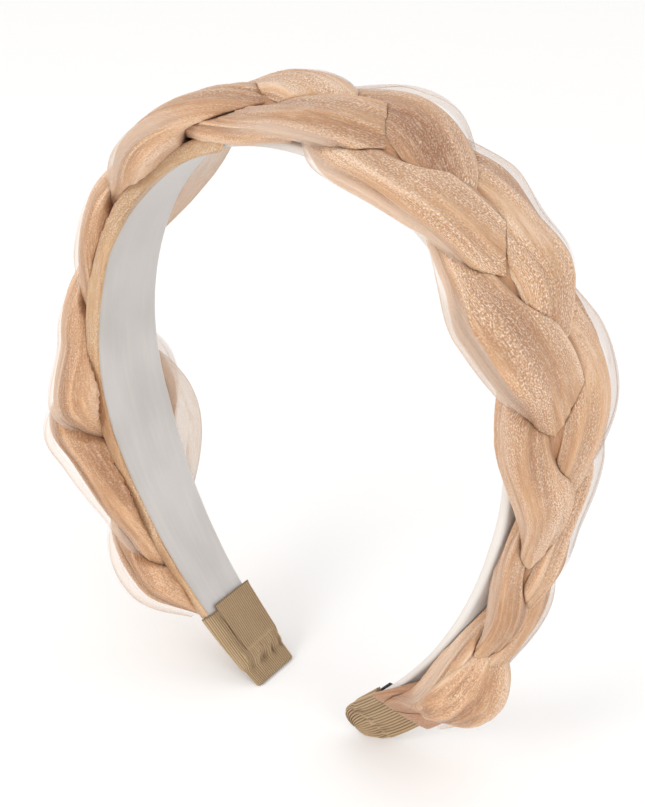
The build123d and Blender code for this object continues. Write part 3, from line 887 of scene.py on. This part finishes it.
def ribbonCap(side):
    # a rounded rectangle round the band, closing to a flat sealed end; ribs are a cosine of the way round it
    sign = -1 if side == "left" else 1
    tip = legLength(side)
    bandEnd, openEnd = tip - caps["sealed"], tip - braid["capLength"][side]
    s = np.linspace(openEnd, tip, int((tip - openEnd) / caps["stationStep"]))[:, None]
    width, depth = bandFrame(sign * s)[3:]
    bend = caps["corner"][side]
    inset = np.maximum(0, s - (tip - bend))
    width = width + 2 * wall
    rounding = 2 * (bend - np.sqrt(np.maximum(bend ** 2 - inset ** 2, 0)))
    depth = depth + 2 * wall
    closed = bandEnd + caps["sealed"] * caps["closeShare"]
    closing = ease(s, bandEnd - caps["closeEarly"], closed)
    thickness = depth + (caps["sealedThickness"] - depth) * closing
    profile = roundedProfile(*caps["profile"])
    radius = caps["edgeRadius"]
    halfSize = np.array([[[width.mean() / 2]], [[thickness.mean() / 2]]]) - radius
    section = np.stack(profile[:2]) * halfSize + radius * np.stack([np.cos(profile[2]), np.sin(profile[2])])
    steps = np.hypot(*np.diff(section, axis=-1, append=section[..., :1]))
    way = np.cumsum(steps, 1) - steps  # the way round the mean section, so that ribs go on round its sides
    ribs = np.round(steps.sum() / caps["ribSpacing"][side])
    drift = caps["lean"][side] * ease(s, openEnd, tip)
    wave = np.cos(2 * np.pi * ribs * (way / steps.sum() + drift / steps.sum()))
    along = (s - openEnd)[:, 0]
    gather = foldField(along[:, None], profile[3][None], caps["folds"], caps["seed"]) - 0.5
    faces = np.abs(profile[0]) < 0.999  # the two flat faces, not the sides
    push = caps["ribHeight"][side] * (wave - 1)
    for name in ("pinch", "bunch"):
        squeeze = caps[name]
        held = bell(s - bandEnd, squeeze["at"], squeeze["reach"]) * faces * (side in squeeze["sides"])
        push = push + (gather * squeeze["fold"] + squeeze["rise"]) * held
        if name == "pinch":
            # painted shade in the gathers where the pinch folds inwards
            pinched = np.clip(-gather * held * caps["pinchShade"], 0, 1)
    fromFront = (1 + profile[0]) * width / 2
    crease = 0 * push
    for place, depthOf in caps["creases"]:
        wander = caps["creaseWander"] * np.sin(s / caps["creaseRun"])
        line = bell(fromFront - place, wander, caps["creaseWidth"]) * (1 - caps["creaseFade"] * closing)
        push = push - depthOf * line
        # painted shade in the crease lines pressed into the cap
        crease = np.maximum(crease, line * depthOf * caps["creaseShade"])
    points = sectionPoints(sign * s, width - rounding, thickness, radius, profile, push=push)
    points[..., 2] = np.maximum(points[..., 2], 0.0)  # pressed flat on the floor
    # painted shade across the cap's open end, where the braid goes in
    openEdge = caps["openShade"] * (s - openEnd < caps["openEdge"])
    shade = caps["ribShade"][side] + (1 - caps["ribShade"][side]) * closing
    fields = {"rib": ribShading(wave, shade), "fold": np.clip(crease + pinched + openEdge, 0, 1)}
    girth = 2 * (float(width.max()) + 4)
    return clothMesh(f"grosgrain_cap_{side}", points, along, profile[3] * girth, fields, ribbon)


def ribbonFlap():
    # the ribbon's overlapping end on the inner face: a thin slab that starts further up the leg than the cap
    tip = legLength("left")
    start = tip - braid["capLength"]["left"] - flaps["starts"]
    end = tip - caps["sealed"] + flaps["overSeal"]
    s = np.linspace(start, end, flaps["stations"])[:, None]
    width, depth = bandFrame(-s)[3:]
    width = width + 2 * wall
    wide = width * flaps["share"]
    profile = roundedProfile(*flaps["profile"])
    across = profile[0] * wide / 2 + caps["lean"]["left"] * ease(s, start, tip)
    wave = np.cos(2 * np.pi * across / caps["ribSpacing"]["left"])
    sink = ease(s, end - flaps["sinkReach"], end) * flaps["sink"]
    lie = -(depth / 2 + wall) - flaps["thickness"] / 2 + flaps["bedded"] + sink
    points = sectionPoints(-s, wide, flaps["thickness"], flaps["edgeRadius"], profile, middle=lie,
                           shift=(width - wide) / 2 + flaps["aside"],
                           push=caps["ribHeight"]["left"] * (wave - 1))
    # painted shade along the flap's start and front edges, where it lies over the cap
    edges = (s - start < flaps["edge"]) * 1.0 + (profile[0] < flaps["frontEdge"])
    fields = {"rib": ribShading(wave, caps["ribShade"]["left"]),
              "fold": np.clip(flaps["edgeShade"] * edges, 0, 1)}
    around = profile[3] * flaps["girth"]
    return clothMesh("grosgrain_flap_left", points, (s - start)[:, 0], around, fields, ribbon)


for side in ("left", "right"):
    cap = ribbonCap(side)
    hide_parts(f"ribbon_cap_{side}")
flap = ribbonFlap()
print("grosgrain caps made")

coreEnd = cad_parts["core_end_right"]
coreEnd.data.materials.clear()
coreEnd.data.materials.append(coreNylon())

# The studio, in metres and watts
studio = {
    "floor": "#F7F6F5", "floorHalf": 3.0, "floorRoughness": 0.9, "world": 1.0, "aim": (0, 0, 0.09),
    "lamps": (  # name, place, size, power
        ("key_lamp", (-0.30, -0.95, 0.60), 0.5, 4.2), ("fill_lamp", (0.95, -0.35, 0.40), 0.6, 2.2)),
}


def makeStudio():
    # a pale matt floor, an even white world, and soft square lamps turned to the object
    scene = bpy.context.scene
    mesh = bpy.data.meshes.new("studio_floor")
    half = studio["floorHalf"]
    corners = [(-half, -half, 0), (half, -half, 0), (half, half, 0), (-half, half, 0)]
    mesh.from_pydata(corners, [], [(0, 1, 2, 3)])
    floor = bpy.data.objects.new("studio_floor", mesh)
    material, shader, _ = newMaterial("matt_paper")
    setInputs(shader, {"Base Color": studio["floor"], "Roughness": studio["floorRoughness"]})
    mesh.materials.append(material)
    scene.collection.objects.link(floor)
    world = bpy.data.worlds.new("studio_white")
    scene.world = world
    world.use_nodes = True
    setInputs(world.node_tree.nodes["Background"], {"Color": (1, 1, 1, 1), "Strength": studio["world"]})
    for name, place, size, power in studio["lamps"]:
        data = bpy.data.lights.new(name, "AREA")
        data.size, data.energy = size, power
        lamp = bpy.data.objects.new(name, data)
        away = np.array(place) - np.array(studio["aim"])
        away = away / np.linalg.norm(away)
        side = np.cross((0, 0, 1), away)
        side = side / np.linalg.norm(side)
        columns = np.stack([side, np.cross(away, side), away, place], 1)
        lamp.matrix_world = Matrix(columns.tolist() + [[0, 0, 0, 1]])
        scene.collection.objects.link(lamp)
    scene.view_settings.view_transform = "Standard"


makeStudio()
print("studio made")
